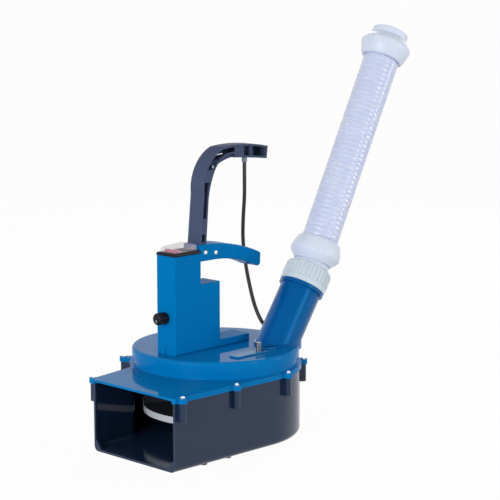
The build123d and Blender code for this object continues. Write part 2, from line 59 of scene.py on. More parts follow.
def makeCamera():
    data = bpy.data.cameras.new("studio_camera")
    data.lens = cameraSetup["lens"]
    data.sensor_width = cameraSetup["sensor"]
    data.clip_end = cameraSetup["farLimit"]
    camera = bpy.data.objects.new("studio_camera", data)
    place = Vector(cameraSetup["place"])
    aim = Vector(cameraSetup["lookAt"]) - place
    camera.matrix_world = Matrix.Translation(place) @ aim.to_track_quat("-Z", "Y").to_matrix().to_4x4()
    scene.collection.objects.link(camera)
    scene.camera = camera


makeCamera()
print("stage: camera")


# Material helpers

def newGroup(name, inputs, outputs):
    group = bpy.data.node_groups.new(name, "ShaderNodeTree")
    for label, kind, value in inputs:
        socket = group.interface.new_socket(label, in_out="INPUT", socket_type=kind)
        socket.default_value = value
    for label, kind in outputs:
        group.interface.new_socket(label, in_out="OUTPUT", socket_type=kind)
    return group, group.nodes.new("NodeGroupInput"), group.nodes.new("NodeGroupOutput")


def node(tree, kind, **settings):
    made = tree.nodes.new(kind)
    for key, value in settings.items():
        setattr(made, key, value)
    return made


def wire(tree, source, target):
    tree.links.new(source, target)


def makeGrainGroup():
    group, given, out = newGroup(
        "moulded_grain",
        [("Scale", "NodeSocketFloat", 900.0), ("Strength", "NodeSocketFloat", 0.1),
         ("Depth", "NodeSocketFloat", 0.0001)],
        [("Mottle", "NodeSocketFloat"), ("Flow", "NodeSocketFloat"), ("Normal", "NodeSocketVector")],
    )
    place = node(group, "ShaderNodeTexCoord")
    fine = node(group, "ShaderNodeTexNoise")
    fine.inputs["Detail"].default_value = 3
    broad = node(group, "ShaderNodeTexNoise")
    broad.inputs["Scale"].default_value = 22
    broad.inputs["Detail"].default_value = 4
    flow = node(group, "ShaderNodeTexNoise")
    flow.inputs["Scale"].default_value = 7
    flow.inputs["Detail"].default_value = 1
    bump = node(group, "ShaderNodeBump")
    wire(group, place.outputs["Object"], fine.inputs["Vector"])
    wire(group, place.outputs["Object"], broad.inputs["Vector"])
    wire(group, place.outputs["Object"], flow.inputs["Vector"])
    wire(group, given.outputs["Scale"], fine.inputs["Scale"])
    wire(group, fine.outputs["Fac"], bump.inputs["Height"])
    wire(group, given.outputs["Strength"], bump.inputs["Strength"])
    wire(group, given.outputs["Depth"], bump.inputs["Distance"])
    wire(group, broad.outputs["Fac"], out.inputs["Mottle"])
    wire(group, flow.outputs["Fac"], out.inputs["Flow"])
    wire(group, bump.outputs["Normal"], out.inputs["Normal"])
    return group


def makeEdgeGroup():
    group, given, out = newGroup(
        "edge_mask",
        [("Radius", "NodeSocketFloat", 0.001), ("Breakup", "NodeSocketFloat", 60.0)],
        [("Mask", "NodeSocketFloat")],
    )
    rounded = node(group, "ShaderNodeBevel", samples=4)
    shape = node(group, "ShaderNodeNewGeometry")
    dot = node(group, "ShaderNodeVectorMath", operation="DOT_PRODUCT")
    spread = node(group, "ShaderNodeMapRange")
    spread.inputs["From Min"].default_value = 0.99
    spread.inputs["From Max"].default_value = 0.75
    place = node(group, "ShaderNodeTexCoord")
    noise = node(group, "ShaderNodeTexNoise")
    noise.inputs["Detail"].default_value = 5
    level = node(group, "ShaderNodeMapRange")
    level.inputs["From Min"].default_value = 0.35
    level.inputs["From Max"].default_value = 0.65
    both = node(group, "ShaderNodeMath", operation="MULTIPLY")
    wire(group, given.outputs["Radius"], rounded.inputs["Radius"])
    wire(group, rounded.outputs["Normal"], dot.inputs[0])
    wire(group, shape.outputs["Normal"], dot.inputs[1])
    wire(group, dot.outputs["Value"], spread.inputs["Value"])
    wire(group, place.outputs["Object"], noise.inputs["Vector"])
    wire(group, given.outputs["Breakup"], noise.inputs["Scale"])
    wire(group, noise.outputs["Fac"], level.inputs["Value"])
    wire(group, spread.outputs["Result"], both.inputs[0])
    wire(group, level.outputs["Result"], both.inputs[1])
    wire(group, both.outputs["Value"], out.inputs["Mask"])
    return group


def makeDustGroup():
    group, given, out = newGroup(
        "settled_dust",
        [("Amount", "NodeSocketFloat", 0.1), ("Scale", "NodeSocketFloat", 240.0)],
        [("Mask", "NodeSocketFloat")],
    )
    shape = node(group, "ShaderNodeNewGeometry")
    parts = node(group, "ShaderNodeSeparateXYZ")
    upward = node(group, "ShaderNodeMapRange")
    upward.inputs["From Min"].default_value = 0.5
    place = node(group, "ShaderNodeTexCoord")
    noise = node(group, "ShaderNodeTexNoise")
    noise.inputs["Detail"].default_value = 6
    level = node(group, "ShaderNodeMapRange")
    level.inputs["From Min"].default_value = 0.45
    level.inputs["From Max"].default_value = 0.75
    first = node(group, "ShaderNodeMath", operation="MULTIPLY")
    second = node(group, "ShaderNodeMath", operation="MULTIPLY")
    wire(group, shape.outputs["Normal"], parts.inputs["Vector"])
    wire(group, parts.outputs["Z"], upward.inputs["Value"])
    wire(group, place.outputs["Object"], noise.inputs["Vector"])
    wire(group, given.outputs["Scale"], noise.inputs["Scale"])
    wire(group, noise.outputs["Fac"], level.inputs["Value"])
    wire(group, upward.outputs["Result"], first.inputs[0])
    wire(group, level.outputs["Result"], first.inputs[1])
    wire(group, first.outputs["Value"], second.inputs[0])
    wire(group, given.outputs["Amount"], second.inputs[1])
    wire(group, second.outputs["Value"], out.inputs["Mask"])
    return group


grainGroup = makeGrainGroup()
edgeGroup = makeEdgeGroup()
dustGroup = makeDustGroup()


def surface(name, look):
    material = bpy.data.materials.new(name)
    material.use_nodes = True
    tree = material.node_tree
    shader = next(n for n in tree.nodes if n.type == "BSDF_PRINCIPLED")
    grain = node(tree, "ShaderNodeGroup", node_tree=grainGroup)
    grain.inputs["Scale"].default_value = look.get("grainScale", 900)
    grain.inputs["Strength"].default_value = look.get("grain", 0.1)
    grain.inputs["Depth"].default_value = look.get("grainDepth", 0.0001)
    colour = node(tree, "ShaderNodeMix", data_type="RGBA")
    colour.inputs["A"].default_value = (*look["colour"], 1)
    colour.inputs["B"].default_value = (*look.get("second", [c * 0.86 for c in look["colour"]]), 1)
    wire(tree, grain.outputs["Mottle"], colour.inputs["Factor"])
    result = colour.outputs["Result"]
    if look.get("wear", 0) > 0:
        edge = node(tree, "ShaderNodeGroup", node_tree=edgeGroup)
        edge.inputs["Radius"].default_value = look.get("wearRadius", 0.0012)
        scale = node(tree, "ShaderNodeMath", operation="MULTIPLY")
        scale.inputs[1].default_value = look["wear"]
        worn = node(tree, "ShaderNodeMix", data_type="RGBA")
        worn.inputs["B"].default_value = (*look["worn"], 1)
        wire(tree, edge.outputs["Mask"], scale.inputs[0])
        wire(tree, scale.outputs["Value"], worn.inputs["Factor"])
        wire(tree, result, worn.inputs["A"])
        result = worn.outputs["Result"]
    if look.get("dust", 0) > 0:
        dust = node(tree, "ShaderNodeGroup", node_tree=dustGroup)
        dust.inputs["Amount"].default_value = look["dust"]
        dusty = node(tree, "ShaderNodeMix", data_type="RGBA")
        dusty.inputs["B"].default_value = (*look.get("dustColour", (0.55, 0.55, 0.53)), 1)
        wire(tree, dust.outputs["Mask"], dusty.inputs["Factor"])
        wire(tree, result, dusty.inputs["A"])
        result = dusty.outputs["Result"]
    wire(tree, result, shader.inputs["Base Color"])
    rough = node(tree, "ShaderNodeMapRange")
    rough.inputs["To Min"].default_value = look["rough"] * 0.8
    rough.inputs["To Max"].default_value = look["rough"] * 1.25
    wire(tree, grain.outputs["Flow"], rough.inputs["Value"])
    wire(tree, rough.outputs["Result"], shader.inputs["Roughness"])
    wire(tree, grain.outputs["Normal"], shader.inputs["Normal"])
    for socket, value in look.get("sockets", {}).items():
        shader.inputs[socket].default_value = value
    return material


# Colours are linear; "second" is the mottled shade, and "sockets" are set on the shader as they stand

looks = {
    "blue": {
        "colour": (0.0, 0.178, 0.47), "second": (0.0, 0.162, 0.437), "rough": 0.06,
        "grain": 0.02, "grainScale": 1400,
        "wear": 0.3, "worn": (0.06, 0.32, 0.6), "dust": 0.02,
        "sockets": {"IOR": 1.11},
    },
    "column": {
        "colour": (0.0, 0.172, 0.455), "second": (0.0, 0.160, 0.428), "rough": 0.3,
        "grain": 0.05, "grainScale": 1400,
        "wear": 0.3, "worn": (0.03, 0.30, 0.6), "dust": 0.0,
        "sockets": {"IOR": 1.06},
    },
    # tube: the same blue plastic with a darker base colour, painted shade standing in for the shade that the
    # column and the arch cast on the feed tube
    "tube": {
        "colour": (0.0, 0.085, 0.29), "second": (0.0, 0.078, 0.27), "rough": 0.26,
        "grain": 0.04, "grainScale": 1400,
        "wear": 0.2, "worn": (0.06, 0.32, 0.6), "dust": 0.0,
        "sockets": {"IOR": 1.42, "Specular Tint": (0.1, 0.6, 1.0, 1)},
    },
    "navy": {
        "colour": (0.012, 0.028, 0.066), "second": (0.010, 0.025, 0.060), "rough": 0.1, "grain": 0.06,
        "grainScale": 1600, "wear": 0.3, "worn": (0.07, 0.1, 0.17), "dust": 0.0,
        "sockets": {"IOR": 1.38},
    },
    "handle": {
        "colour": (0.070, 0.091, 0.158), "second": (0.062, 0.081, 0.144), "rough": 0.48, "grain": 0.08,
        "grainScale": 1600, "wear": 0.5, "worn": (0.11, 0.14, 0.21), "dust": 0.0,
        "sockets": {"IOR": 1.07},
    },
    "black": {
        "colour": (0.006, 0.005, 0.011), "rough": 0.22, "grain": 0.1, "wear": 0.3, "worn": (0.05, 0.045, 0.065),
        "dust": 0.0, "sockets": {"IOR": 1.25},
    },
    "rubber": {"colour": (0.016, 0.016, 0.020), "rough": 0.5, "grain": 0.2, "grainScale": 1100},
    "white": {
        "colour": (0.60, 0.69, 0.75), "second": (0.56, 0.65, 0.71), "rough": 0.32, "grain": 0.06,
        "sockets": {"Subsurface Weight": 0.2, "Subsurface Radius": (0.004, 0.004, 0.005),
                    "Specular IOR Level": 0.3},
    },
    "impeller": {
        "colour": (0.62, 0.66, 0.70), "second": (0.57, 0.61, 0.66), "rough": 0.35, "grain": 0.06,
    },
    # painted shade: a near-black surface for the impeller's top and paddles, standing in for the shadow inside
    # the pan's chamber
    "paddle_painted_shade": {
        "colour": (0.030, 0.034, 0.042), "second": (0.024, 0.028, 0.036), "rough": 0.4, "grain": 0.08,
        "grainScale": 1200,
    },
    "milky": {
        "colour": (0.68, 0.74, 0.86), "second": (0.65, 0.71, 0.84), "rough": 0.3, "grain": 0.05,
        "sockets": {"Subsurface Weight": 0.5, "Subsurface Radius": (0.008, 0.008, 0.010),
                    "Specular IOR Level": 0.3},
    },
    "hose": {
        "colour": (0.60, 0.655, 0.83), "second": (0.57, 0.63, 0.81), "rough": 0.2,
        "grain": 0.04, "grainScale": 500,
        "sockets": {"Subsurface Weight": 0.7, "Subsurface Radius": (0.012, 0.012, 0.016),
                    "Specular IOR Level": 0.55},
    },
    "steel": {
        "colour": (0.88, 0.90, 0.93), "second": (0.78, 0.80, 0.84), "rough": 0.22,
        "grain": 0.15, "grainScale": 2400,
        "sockets": {"Metallic": 1.0},
    },
    "darkSteel": {
        "colour": (0.17, 0.19, 0.23), "second": (0.12, 0.14, 0.18), "rough": 0.38,
        "grain": 0.15, "grainScale": 2000,
        "sockets": {"Metallic": 0.9},
    },
    "red": {
        "colour": (0.60, 0.11, 0.19), "second": (0.54, 0.09, 0.16), "rough": 0.22, "grain": 0.05,
        "sockets": {"Subsurface Weight": 0.2},
    },
    "clear": {
        "colour": (0.66, 0.58, 0.66), "rough": 0.15, "grain": 0.04, "grainScale": 300,
        "sockets": {"Alpha": 0.17, "IOR": 1.45},
    },
    "gate": {
        "colour": (0.0, 0.17, 0.43), "second": (0.0, 0.155, 0.40), "rough": 0.07, "grain": 0.03, "wear": 0.3,
        "worn": (0.2, 0.22, 0.25), "sockets": {"IOR": 1.2},
    },
    "board": {"colour": (0.02, 0.16, 0.07), "second": (0.015, 0.12, 0.05), "rough": 0.3, "grain": 0.1},
}
paints = {name: surface(name + "_surface", look) for name, look in looks.items()}
print("stage: materials")


# Geometry helpers

def jointOf(name):
    return next(j for j in frame["record"]["behaviour"]["joints"] if j["name"] == name)


def axisFrame(jointName):
    made = jointOf(jointName)
    turn = Vector((0, 0, 1)).rotation_difference(Vector(made["axis"]).normalized())
    return Matrix.Translation(Vector(made["pos_m"])) @ turn.to_matrix().to_4x4()


# A wider rounding on the long outer edges, apart from those on the seam of the two column halves

def roundLongEdges(bm, width, shortest, seam=0.2, corner=60):
    chosen = []
    for edge in bm.edges:
        if len(edge.link_faces) != 2 or not edge.is_convex or edge.calc_face_angle(0) < math.radians(corner):
            continue
        onSeam = all(abs(v.co.x) < seam * mm for v in edge.verts)
        if edge.calc_length() > shortest and not onSeam:
            chosen.append(edge)
    bmesh.ops.bevel(bm, geom=chosen, offset=width, offset_type="OFFSET", segments=4, profile=0.5,
                    affect="EDGES", clamp_overlap=True, material=-1)


def softenEdges(bm, width, angle=28, segments=2):
    sharp = [e for e in bm.edges if len(e.link_faces) == 2 and e.calc_face_angle(0) > math.radians(angle)]
    bmesh.ops.bevel(bm, geom=sharp, offset=width, offset_type="OFFSET", segments=segments, profile=0.5,
                    affect="EDGES", clamp_overlap=True, material=-1)


def shadeByAngle(bm, angle=40):
    for face in bm.faces:
        face.smooth = True
    for edge in bm.edges:
        edge.smooth = edge.calc_face_angle(0) < math.radians(angle)


def addPiece(bm, name, paint, body, stands=(), angle=40):
    bmesh.ops.recalc_face_normals(bm, faces=bm.faces[:])
    shadeByAngle(bm, angle)
    mesh = bpy.data.meshes.new(name)
    bm.to_mesh(mesh)
    bm.free()
    mesh.materials.append(paints[paint])
    piece = bpy.data.objects.new(name, mesh)
    scene.collection.objects.link(piece)
    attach(piece, body)
    if stands:
        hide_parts(*stands)
    return piece


def spunProfile(bm, profile, place, steps):
    verts = [bm.verts.new(place @ Vector((r, 0, z))) for r, z in profile]
    edges = [bm.edges.new((a, b)) for a, b in zip(verts, verts[1:])]
    if (verts[0].co - verts[-1].co).length > 1e-9:
        edges.append(bm.edges.new((verts[-1], verts[0])))
    axis = (place.to_3x3() @ Vector((0, 0, 1))).normalized()
    bmesh.ops.spin(bm, geom=verts + edges, cent=place.translation, axis=axis, angle=2 * math.pi,
                   steps=steps, use_merge=True, use_duplicate=False)
    bmesh.ops.remove_doubles(bm, verts=bm.verts[:], dist=1e-7)


bodyOfNode = {n: b for b, group in frame["record"]["behaviour"]["bodies"].items() for n in group}


# Changes to the copies of single nodes, in millimetres

longEdges = {"column_shell_right": (1.3, 17), "column_shell_left": (1.3, 17)}   # rounding, shortest edge
closedHoles = {
    "column_shell_right": {
        "face": 16, "reach": 2.2, "places": [(-70, 125), (-18, 128), (-55, 200), (-18, 182)],
    },
}
coverRise = {"node": "switch_cover", "above": 239.5, "front": -81, "back": -44, "lift": 2.4}
mouthCut = {"node": "upper_casing", "low": (-35.2, -175, 80), "high": (99.2, -155, 87.6)}


def closeHoles(bm, holes):
    for y, z in holes["places"]:
        middle = Vector((holes["face"], y, z)) * mm
        rim = [v for v in bm.verts if (v.co - middle).length < holes["reach"] * mm]
        bmesh.ops.pointmerge(bm, verts=rim, merge_co=middle)
    bmesh.ops.dissolve_degenerate(bm, dist=1e-7, edges=bm.edges[:])


def raiseCover(bm):
    shape = coverRise
    for v in bm.verts:
        if v.co.z > shape["above"] * mm:
            share = (v.co.y / mm - shape["front"]) / (shape["back"] - shape["front"])
            v.co.z += shape["lift"] * share * mm


def cutAway(bm, low, high):
    held = bpy.data.meshes.new("cut_source")
    bm.to_mesh(held)
    source = bpy.data.objects.new("cut_source", held)
    scene.collection.objects.link(source)
    box = bmesh.new()
    bmesh.ops.create_cube(box, size=1)
    size = [(b - a) * mm for a, b in zip(low, high)]
    middle = [(a + b) / 2 * mm for a, b in zip(low, high)]
    bmesh.ops.scale(box, vec=size, verts=box.verts[:])
    bmesh.ops.translate(box, vec=middle, verts=box.verts[:])
    knifeMesh = bpy.data.meshes.new("cut_box")
    box.to_mesh(knifeMesh)
    box.free()
    knife = bpy.data.objects.new("cut_box", knifeMesh)
    scene.collection.objects.link(knife)
    cut = source.modifiers.new("cut", "BOOLEAN")
    cut.operation = "DIFFERENCE"
    cut.solver = "EXACT"
    cut.object = knife
    bpy.context.view_layer.update()
    result = source.evaluated_get(bpy.context.evaluated_depsgraph_get()).to_mesh()
    bm.clear()
    bm.from_mesh(result)
    for temporary in (source, knife):
        mesh = temporary.data
        bpy.data.objects.remove(temporary)
        bpy.data.meshes.remove(mesh)


def dressedCopy(nodeName, paint, width, flat=0.5):
    bm = bmesh.new()
    bm.from_mesh(frame["nodes"][nodeName].data)
    bmesh.ops.remove_doubles(bm, verts=bm.verts[:], dist=weld)
    if nodeName in closedHoles:
        closeHoles(bm, closedHoles[nodeName])
    bmesh.ops.dissolve_limit(bm, angle_limit=math.radians(flat), verts=bm.verts[:], edges=bm.edges[:])
    if nodeName == mouthCut["node"]:
        cutAway(bm, mouthCut["low"], mouthCut["high"])
    if nodeName == coverRise["node"]:
        raiseCover(bm)
    if nodeName in longEdges:
        reach, shortest = longEdges[nodeName]
        roundLongEdges(bm, reach * mm, shortest * mm)
    softenEdges(bm, width)
    piece = addPiece(bm, nodeName + "_dressed", paint, bodyOfNode[nodeName], (nodeName,))
    weigh = piece.modifiers.new("even_normals", "WEIGHTED_NORMAL")
    weigh.keep_sharp = True
    return piece


# Each rigid node's material and the rounding of its edges in millimetres

dressed = {
    "lower_casing": ("navy", 0.5), "upper_casing": ("blue", 0.5), "column_shell_right": ("column", 0.35),
    "column_shell_left": ("column", 0.35), "top_handle": ("handle", 0.35), "trigger": ("handle", 0.3),
    "feed_tube": ("tube", 0.4), "switch_bezel": ("black", 0.5), "impeller": ("impeller", 0.3),
    "cable_stop": ("darkSteel", 0.2), "gate_plate": ("gate", 0.15), "power_inlet": ("black", 0.3),
    "trigger_pin": ("darkSteel", 0.3), "gate_pin": ("darkSteel", 0.5), "switch_cover": ("clear", 0.4),
    "motor": ("steel", 0.5),
}
# Impeller faces inside the rim and above it, which take the painted shade
shadedPaddleFaces = {"node": "impeller", "paint": "paddle_painted_shade", "above": 38.2, "rim": 88.5}
for nodeName, (paint, width) in dressed.items():
    piece = dressedCopy(nodeName, paint, width * mm)
    if nodeName == shadedPaddleFaces["node"]:   # painted shade on the pan's top and the paddles, standing in for the shadow inside the chamber; only its rim keeps the white
        piece.data.materials.append(paints[shadedPaddleFaces["paint"]])
        for face in piece.data.polygons:
            inside = math.hypot(face.center.x, face.center.y) < shadedPaddleFaces["rim"] * mm
            if inside and face.center.z > shadedPaddleFaces["above"] * mm:
                face.material_index = 1
print("stage: dressed casings")


# Nodes that are hidden or nearly so keep their CAD mesh and only get a material

plain = {
    "motor_shaft": "steel", "switch_body": "black", "speed_shaft": "steel", "speed_control": "steel",
    "control_board": "board", "handle_ferrule": "darkSteel", "gate_floor": "white", "union_tail": "milky",
}
for nodeName, paint in plain.items():
    for place in frame["nodes"][nodeName].material_slots:
        place.material = paints[paint]
print("stage: carried-over nodes")


# Switch rocker with its raised front end

rocker = {
    "middle": (-62.5, 232.5), "half": 9.4, "pivot": -3, "trunnion": 1.6, "reach": 11.8, "sunk": 0.3,
    "rounding": 0.45, "corner": 50,
    "side": [(-14, -2), (-14, 6.2), (-13.2, 7), (-10.5, 7.1), (-6, 5.6), (-1, 3.4), (5, 2.0), (13.2, 0.8),
             (14, 0.4), (14, -2), (8, -5.6), (0, -7.4), (-8, -5.6)],
}


def makeRocker():
    bm = bmesh.new()
    y0, z0 = rocker["middle"]
    outline = [bm.verts.new(Vector((-rocker["half"], y0 + y, z0 + z)) * mm) for y, z in rocker["side"]]
    side = bm.faces.new(outline)
    grown = bmesh.ops.extrude_face_region(bm, geom=[side], use_keep_orig=True)["geom"]
    moved = [g for g in grown if isinstance(g, bmesh.types.BMVert)]
    bmesh.ops.translate(bm, verts=moved, vec=(2 * rocker["half"] * mm, 0, 0))
    bmesh.ops.recalc_face_normals(bm, faces=bm.faces[:])
    softenEdges(bm, rocker["rounding"] * mm, rocker["corner"])
    radius = rocker["trunnion"] * mm
    inner = rocker["half"] - rocker["sunk"]
    for end in (-1, 1):
        stub = bmesh.ops.create_cone(bm, cap_ends=True, segments=24, radius1=radius, radius2=radius,
                                     depth=(rocker["reach"] - inner) * mm)["verts"]
        bmesh.ops.rotate(bm, verts=stub, cent=(0, 0, 0), matrix=Matrix.Rotation(math.pi / 2, 3, "Y"))
        along = end * (rocker["reach"] + inner) / 2
        bmesh.ops.translate(bm, verts=stub, vec=Vector((along, y0, z0 + rocker["pivot"])) * mm)
    addPiece(bm, "switch_rocker_raised", "red", bodyOfNode["switch_rocker"], ("switch_rocker",))


makeRocker()
print("stage: rocker")


# Turned and ribbed pieces. A ring is its radius, its height on the axis and the depth of its ribs.

def shiftedFrame(jointName, offset):
    return axisFrame(jointName) @ Matrix.Translation((0, 0, -offset * mm))


tubeFrame = shiftedFrame("cap_nut_turn", 92)
hoseFrame = shiftedFrame("lower_nut_turn", 19)
knobFrame = axisFrame("speed_knob_turn")


def rounded(points, rounds=2):
    for _ in range(rounds):
        finer = []
        for a, b in zip(points, points[1:]):
            finer.append(tuple(0.75 * u + 0.25 * v for u, v in zip(a, b)))
            finer.append(tuple(0.25 * u + 0.75 * v for u, v in zip(a, b)))
        points = [points[0]] + finer + [points[-1]]
    return points


def ribbedTurn(rings, place, ribs, perRib, fullness=0.5, steepness=1.6):
    bm = bmesh.new()
    steps = ribs * perRib
    rows = []
    for radius, height, depth in rings:
        row = []
        for k in range(steps):
            angle = 2 * math.pi * k / steps
            swell = min(1, max(0, fullness + steepness * math.cos(ribs * angle)))
            reach = (radius + depth * swell) * mm
            spot = Vector((reach * math.cos(angle), reach * math.sin(angle), height * mm))
            row.append(bm.verts.new(place @ spot))
        rows.append(row)
    for lower, upper in zip(rows, rows[1:] + rows[:1]):
        for k in range(steps):
            n = (k + 1) % steps
            bm.faces.new((lower[k], lower[n], upper[n], upper[k]))
    return bm


capNut = {
    "inside": [(26.2, 107, 0), (23.1, 107, 0), (23.1, 95.2, 0), (26.05, 95.2, 0), (26.05, 80.3, 0)],
    "band": [(26.2, 80, 0), (28.9, 80, 0), (29.35, 80.5, 0), (29.75, 85.6, 0), (29.4, 86.6, 0),
             (28.9, 87.4, 0)],
    "ribbed": [(28.4, 88.2, 1.45), (28.4, 101.5, 1.45), (28.1, 103.5, 1.3), (27.4, 105.6, 0.8),
               (26.7, 106.8, 0.1)],
    "ribs": 32, "perRib": 10, "fullness": 1.3, "steepness": 1.9,
}


def makeCapNut():
    shape = capNut
    rings = shape["band"] + shape["ribbed"] + shape["inside"]
    bm = ribbedTurn(rings, tubeFrame, shape["ribs"], shape["perRib"], shape["fullness"], shape["steepness"])
    addPiece(bm, "tube_cap_nut_ribbed", "white", "cap_nut", ("tube_cap_nut",), 35)


unionNut = {
    "outside": [(24, 0, 0), (28.2, 4.8, 0.2), (32, 9.5, 0.35), (32, 13, 0.35), (31.1, 17.8, 0.35),
                (30.9, 19.4, 0), (30.4, 20.6, 0), (29.3, 24, 0), (28.5, 27, 0), (26, 30, 0)],
    "inside": [(22.35, 30, 0), (21.95, 29.5, 0), (21.95, 0.5, 0), (22.35, 0, 0)],
    "grips": 44, "perGrip": 6, "fullness": 0.2, "steepness": 1,
    "places": {"lower_nut": (4.3, 1), "upper_nut": (317.5, -1)},   # start on the hose's axis, direction
}


def makeUnionNut(nodeName, start, direction):
    shape = unionNut
    rings = rounded(shape["outside"]) + shape["inside"]
    placed = [(r, start + direction * z, depth) for r, z, depth in rings]
    bm = ribbedTurn(placed, hoseFrame, shape["grips"], shape["perGrip"], shape["fullness"], shape["steepness"])
    addPiece(bm, nodeName + "_moulded", "milky", bodyOfNode[nodeName], (nodeName,), 35)


hoseShape = {
    "inner": 20.2, "cuff": 21.9, "trough": 22.8, "crest": 23.25, "innerWave": 1.1, "fullness": 0.7,
    "pitch": 6.25, "ridges": 40, "start": 36, "low": 3, "high": 318, "step": 1, "perRidge": 8, "steps": 72,
}


def makeHose():
    shape = hoseShape
    outer = [(shape["cuff"], shape["low"], 0), (shape["cuff"], shape["start"] - shape["step"], 0)]
    inner = [(shape["inner"], shape["low"], 0)]
    for k in range(shape["ridges"] * shape["perRidge"] + 1):
        share = k / shape["perRidge"]
        wave = (0.5 - 0.5 * math.cos(2 * math.pi * share)) ** shape["fullness"]
        height = shape["start"] + share * shape["pitch"]
        outer.append((shape["trough"] + (shape["crest"] - shape["trough"]) * wave, height, 0))
        inner.append((shape["inner"] + shape["innerWave"] * wave, height, 0))
    outer += [(shape["cuff"], height + shape["step"], 0), (shape["cuff"], shape["high"], 0)]
    inner.append((shape["inner"], shape["high"], 0))
    bm = ribbedTurn(outer + inner[::-1], hoseFrame, shape["steps"], 1)
    addPiece(bm, "corrugated_hose", "hose", bodyOfNode["hose"], ("hose",), 60)


coupling = {
    "outside": [(23.2, 318, 0), (23.6, 318.5, 0), (23.6, 325.5, 0), (23.2, 326.6, 0), (21.3, 328.2, 0),
                (20.4, 328.5, 0)],
    "inside": [(18.4, 328.5, 0), (18, 327.8, 0), (18, 310, 0), (20.2, 310, 0), (20.2, 318, 0)],
    "steps": 96,
}


def makeCoupling():
    rings = rounded(coupling["outside"], 1) + coupling["inside"]
    bm = ribbedTurn(rings, hoseFrame, coupling["steps"], 1)
    addPiece(bm, "hose_coupling_turned", "milky", bodyOfNode["hose_coupling"], ("hose_coupling",),
             35)


makeCapNut()
for nodeName, (start, direction) in unionNut["places"].items():
    makeUnionNut(nodeName, start, direction)
makeHose()
makeCoupling()
print("stage: hose and nuts")


# Speed knob

knobShape = {
    "outside": [(3.0, 5.0, 0), (3.0, 7.3, 0), (6.2, 7.4, 0), (6.8, 6.9, 0), (6.9, 5.4, 0), (6.6, 4.9, 0.8),
                (6.6, -4.5, 0.8), (6.5, -6.2, 0.7), (6.1, -7.2, 0.4), (5.2, -7.8, 0), (4.6, -7.95, 0),
                (4.4, -7.6, 0), (0.05, -7.5, 0), (0.05, 5.0, 0)],
    "ribs": 18, "perRib": 8, "fullness": 0.6, "steepness": 1.6,
    "pointerSize": (0.9, 3.6, 0.2), "pointerPlace": (0, 2.4, -7.52),
}


def makeKnob():
    facing = knobFrame @ Matrix.Rotation(math.pi, 4, "X")
    shape = knobShape
    bm = ribbedTurn(shape["outside"], facing, shape["ribs"], shape["perRib"], shape["fullness"],
                    shape["steepness"])
    pointer = bmesh.ops.create_cube(bm, size=1)["verts"]
    bmesh.ops.scale(bm, vec=Vector(shape["pointerSize"]) * mm, verts=pointer)
    bmesh.ops.translate(bm, vec=Vector(shape["pointerPlace"]) * mm, verts=pointer)
    bmesh.ops.transform(bm, matrix=facing, verts=pointer, space=Matrix.Identity(4))
    marks = {f for v in pointer for f in v.link_faces}
    for face in marks:
        face.material_index = 1
    piece = addPiece(bm, "speed_knob_ribbed", "black", "knob", ("speed_knob",), 35)
    piece.data.materials.append(paints["white"])


makeKnob()
print("stage: knob")


# Screws and feet from the outlines of their nodes

def islandsOf(nodeName):
    bm = bmesh.new()
    bm.from_mesh(frame["nodes"][nodeName].data)
    bmesh.ops.remove_doubles(bm, verts=bm.verts[:], dist=weld)
    waiting = set(bm.verts)
    groups = []
    for start in bm.verts:   # in the mesh's own order, so that each run gives the same screws
        if start not in waiting:
            continue
        waiting.remove(start)
        front = [start]
        found = []
        while front:
            vert = front.pop()
            found.append(vert.co.copy())
            for edge in vert.link_edges:
                other = edge.other_vert(vert)
                if other in waiting:
                    waiting.remove(other)
                    front.append(other)
        groups.append(found)
    bm.free()
    return groups


# Lengths in millimetres; dome, side, underside and recessed are shares of the head's height or radius

screwShape = {
    "head": 2, "dome": 0.62, "domeFullness": 3.2, "side": 0.85, "underside": 0.97, "recessed": 0.5,
    "shank": 1.5, "tip": 1.1, "taper": 0.4,
    "recessHalf": 0.42, "recessReach": 1.9, "recessDepth": 1.1, "rings": 9, "steps": 40, "turn": 0.7,
}


def screwFrame(points):
    low = Vector([min(p[i] for p in points) for i in range(3)])
    high = Vector([max(p[i] for p in points) for i in range(3)])
    size = high - low
    axis = max(range(3), key=lambda i: abs(size[i] - sorted(size)[1]))
    middle = (low + high) / 2
    others = [i for i in range(3) if i != axis]
    ends = []
    for end in (low[axis], high[axis]):
        near = [p - middle for p in points if abs(p[axis] - end) < 0.1 * mm]
        ends.append(max(math.hypot(p[others[0]], p[others[1]]) for p in near))
    headHigh = ends[1] > ends[0]
    direction = Vector((0, 0, 0))
    direction[axis] = 1 if headHigh else -1
    tip = middle.copy()
    tip[axis] = high[axis] if headHigh else low[axis]
    turn = Vector((0, 0, 1)).rotation_difference(direction)
    return Matrix.Translation(tip) @ turn.to_matrix().to_4x4(), size[axis], size[others[0]] / 2


